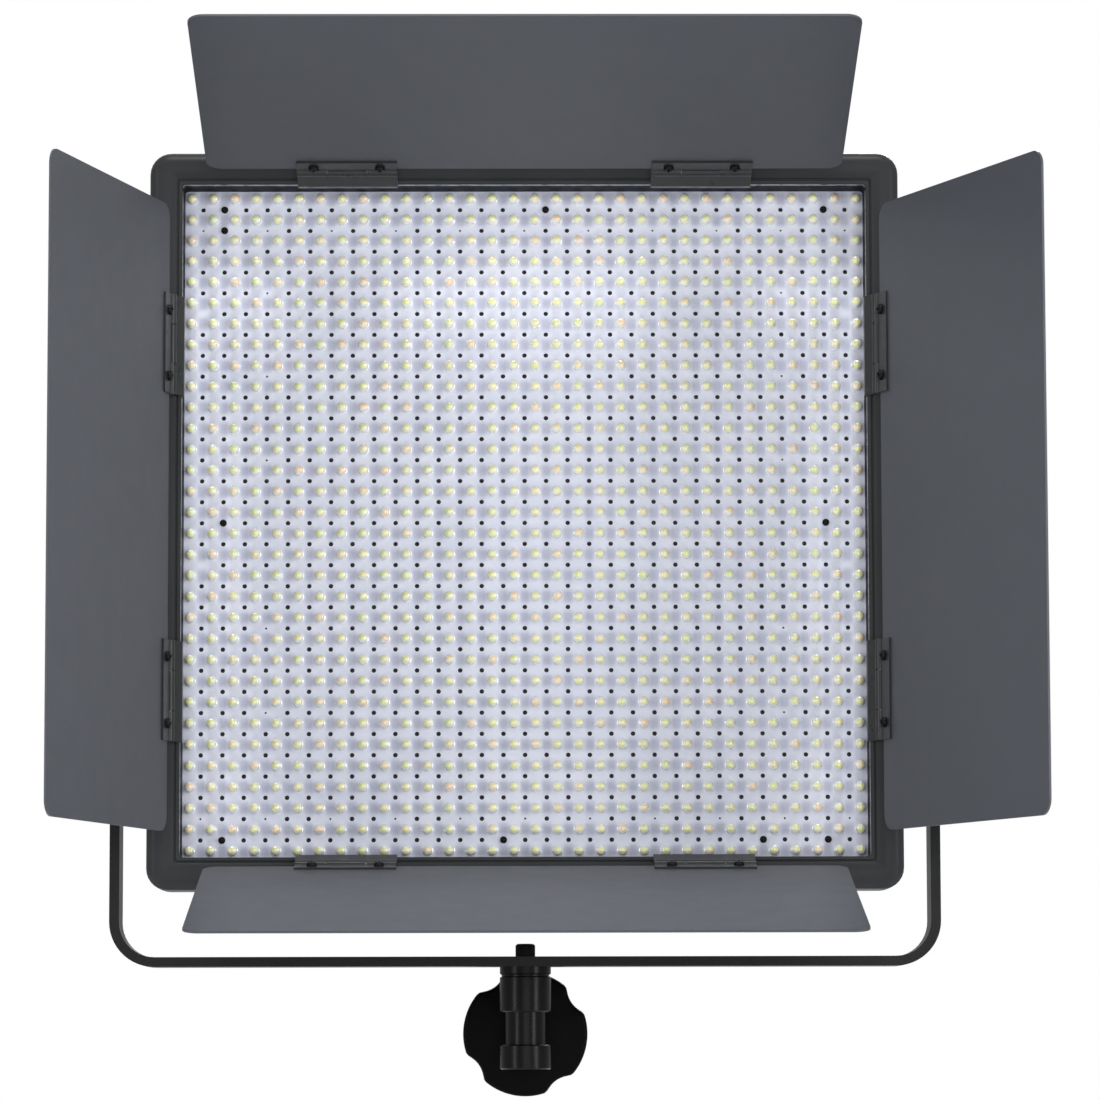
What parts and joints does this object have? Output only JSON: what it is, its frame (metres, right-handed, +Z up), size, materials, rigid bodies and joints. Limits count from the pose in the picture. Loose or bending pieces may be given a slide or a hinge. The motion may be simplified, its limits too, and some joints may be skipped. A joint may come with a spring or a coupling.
{
  "type": "led panel light",
  "caption": "Square studio LED panel light with four hinged barn doors, a tilting U yoke, rear controls and a clamped stand socket.",
  "frame": {"origin": "centre of the stand socket's mouth, on the yoke's middle plane", "axes": "+Z up along the socket, the light shines along -Y, +X to the right as seen from the front"},
  "size_m": [0.4828, 0.2584, 0.5135],
  "materials": {
    "bezel_black": "fine moulded texture, slightly glossy",
    "cover_grey": "fine moulded texture",
    "board_white": "white solder mask, slightly violet",
    "emitter_lens": "clear domes over yellow and orange phosphor",
    "black_screws": "black oxide",
    "heat_sink_metal": "plain extruded",
    "circuit_board": "green solder mask",
    "components": "moulded cases",
    "zinc_steel": "zinc plated",
    "control_plate": "satin",
    "display_glass": "clear window",
    "socket_plastic": "moulded",
    "contact_gold": "gold plated",
    "nylon": "plain",
    "brass": "turned",
    "knob_black": "moulded, satin",
    "button_rubber": "soft",
    "yoke_paint": "satin powder coat",
    "socket_black": "black anodised, turned",
    "hinge_black": "satin black",
    "hinge_pin_steel": "drawn",
    "door_paint": "matt dark grey powder coat on sheet",
    "rivet_black": "black"
  },
  "bodies": {
    "yoke": {"yoke_bracket": "yoke_paint", "stand_socket": "socket_black", "socket_screw": "black_screws", "clamp_pad": "brass", "knob_washers": "zinc_steel"},
    "clamp_knob": {"clamp_knob": "knob_black", "clamp_screw": "zinc_steel"},
    "left_tilt_knob": {"left_tilt_knob": "knob_black", "left_tilt_screw": "zinc_steel"},
    "right_tilt_knob": {"right_tilt_knob": "knob_black", "right_tilt_screw": "zinc_steel"},
    "brightness_dial": {"brightness_dial": "knob_black"},
    "colour_dial": {"colour_dial": "knob_black"},
    "power_rocker": {"power_rocker": "knob_black"},
    "menu_button": {"menu_button": "button_rubber"},
    "mode_button": {"mode_button": "button_rubber"},
    "down_button": {"down_button": "button_rubber"},
    "up_button": {"up_button": "button_rubber"},
    "battery_latch": {"battery_latch": "button_rubber"},
    "top_door": {"top_door": "door_paint", "top_hinge_plates": "hinge_black", "top_door_rivets": "rivet_black"},
    "bottom_door": {"bottom_door": "door_paint", "bottom_hinge_plates": "hinge_black", "bottom_door_rivets": "rivet_black"},
    "left_door": {"left_door": "door_paint", "left_hinge_plates": "hinge_black", "left_door_rivets": "rivet_black"},
    "right_door": {"right_door": "door_paint", "right_hinge_plates": "hinge_black", "right_door_rivets": "rivet_black"},
    "head": {"front_bezel": "bezel_black", "led_board": "board_white", "led_emitters": "emitter_lens", "board_screws": "black_screws", "heat_sink": "heat_sink_metal", "driver_board": "circuit_board", "driver_parts": "components", "rear_cover": "cover_grey", "rear_screws": "black_screws", "side_rails": "zinc_steel", "control_panel": "control_plate", "control_board": "circuit_board", "display_module": "components", "display_window": "display_glass", "dial_encoders": "zinc_steel", "battery_plate": "socket_plastic", "battery_contacts": "contact_gold", "power_switch_frame": "control_plate", "dc_socket": "socket_plastic", "top_hinge_bases": "hinge_black", "bottom_hinge_bases": "hinge_black", "left_hinge_bases": "hinge_black", "right_hinge_bases": "hinge_black", "top_hinge_pins": "hinge_pin_steel", "bottom_hinge_pins": "hinge_pin_steel", "left_hinge_pins": "hinge_pin_steel", "right_hinge_pins": "hinge_pin_steel", "friction_washers": "nylon"}
  },
  "joints": [
    {"name": "head_tilt", "type": "hinge", "parent": "yoke", "child": "head", "pos_m": [0, 0, 0.278], "axis": [1, 0, 0], "range_deg": [-90, 25]},
    {"name": "top_door_hinge", "type": "hinge", "parent": "head", "child": "top_door", "pos_m": [0, -0.0465, 0.454], "axis": [1, 0, 0], "range_deg": [-60, 105]},
    {"name": "bottom_door_hinge", "type": "hinge", "parent": "head", "child": "bottom_door", "pos_m": [0, -0.0465, 0.102], "axis": [-1, 0, 0], "range_deg": [-62.5, 102.5]},
    {"name": "left_door_hinge", "type": "hinge", "parent": "head", "child": "left_door", "pos_m": [-0.179, -0.042, 0.278], "axis": [0, 0, 1], "range_deg": [-59.5, 105.5]},
    {"name": "right_door_hinge", "type": "hinge", "parent": "head", "child": "right_door", "pos_m": [0.179, -0.042, 0.278], "axis": [0, 0, -1], "range_deg": [-52, 113]},
    {"name": "left_tilt_knob_turn", "type": "hinge", "parent": "head", "child": "left_tilt_knob", "pos_m": [-0.22, 0, 0.278], "axis": [-1, 0, 0], "range_deg": [0, 270]},
    {"name": "right_tilt_knob_turn", "type": "hinge", "parent": "head", "child": "right_tilt_knob", "pos_m": [0.22, 0, 0.278], "axis": [1, 0, 0], "range_deg": [0, 270]},
    {"name": "clamp_knob_turn", "type": "hinge", "parent": "yoke", "child": "clamp_knob", "pos_m": [0, 0.03, 0.0182], "axis": [0, 1, 0], "range_deg": [0, 270]},
    {"name": "brightness_dial_turn", "type": "hinge", "parent": "head", "child": "brightness_dial", "pos_m": [-0.062, 0.03, 0.373], "axis": [0, 1, 0], "range_deg": [-150, 150]},
    {"name": "colour_dial_turn", "type": "hinge", "parent": "head", "child": "colour_dial", "pos_m": [0.062, 0.03, 0.373], "axis": [0, 1, 0], "range_deg": [-150, 150]},
    {"name": "power_rocker_tip", "type": "hinge", "parent": "head", "child": "power_rocker", "pos_m": [0.12, 0.021, 0.373], "axis": [0, 0, 1], "range_deg": [0, 16]},
    {"name": "menu_button_press", "type": "slide", "parent": "head", "child": "menu_button", "axis": [0, -1, 0], "range_m": [0, 0.0012], "stiffness_N_per_m": 400, "springref_m": -0.0008},
    {"name": "mode_button_press", "type": "slide", "parent": "head", "child": "mode_button", "axis": [0, -1, 0], "range_m": [0, 0.0012], "stiffness_N_per_m": 400, "springref_m": -0.0008},
    {"name": "down_button_press", "type": "slide", "parent": "head", "child": "down_button", "axis": [0, -1, 0], "range_m": [0, 0.0012], "stiffness_N_per_m": 400, "springref_m": -0.0008},
    {"name": "up_button_press", "type": "slide", "parent": "head", "child": "up_button", "axis": [0, -1, 0], "range_m": [0, 0.0012], "stiffness_N_per_m": 400, "springref_m": -0.0008},
    {"name": "battery_latch_press", "type": "slide", "parent": "head", "child": "battery_latch", "axis": [-1, 0, 0], "range_m": [0, 0.003], "stiffness_N_per_m": 500, "springref_m": -0.001}
  ]
}
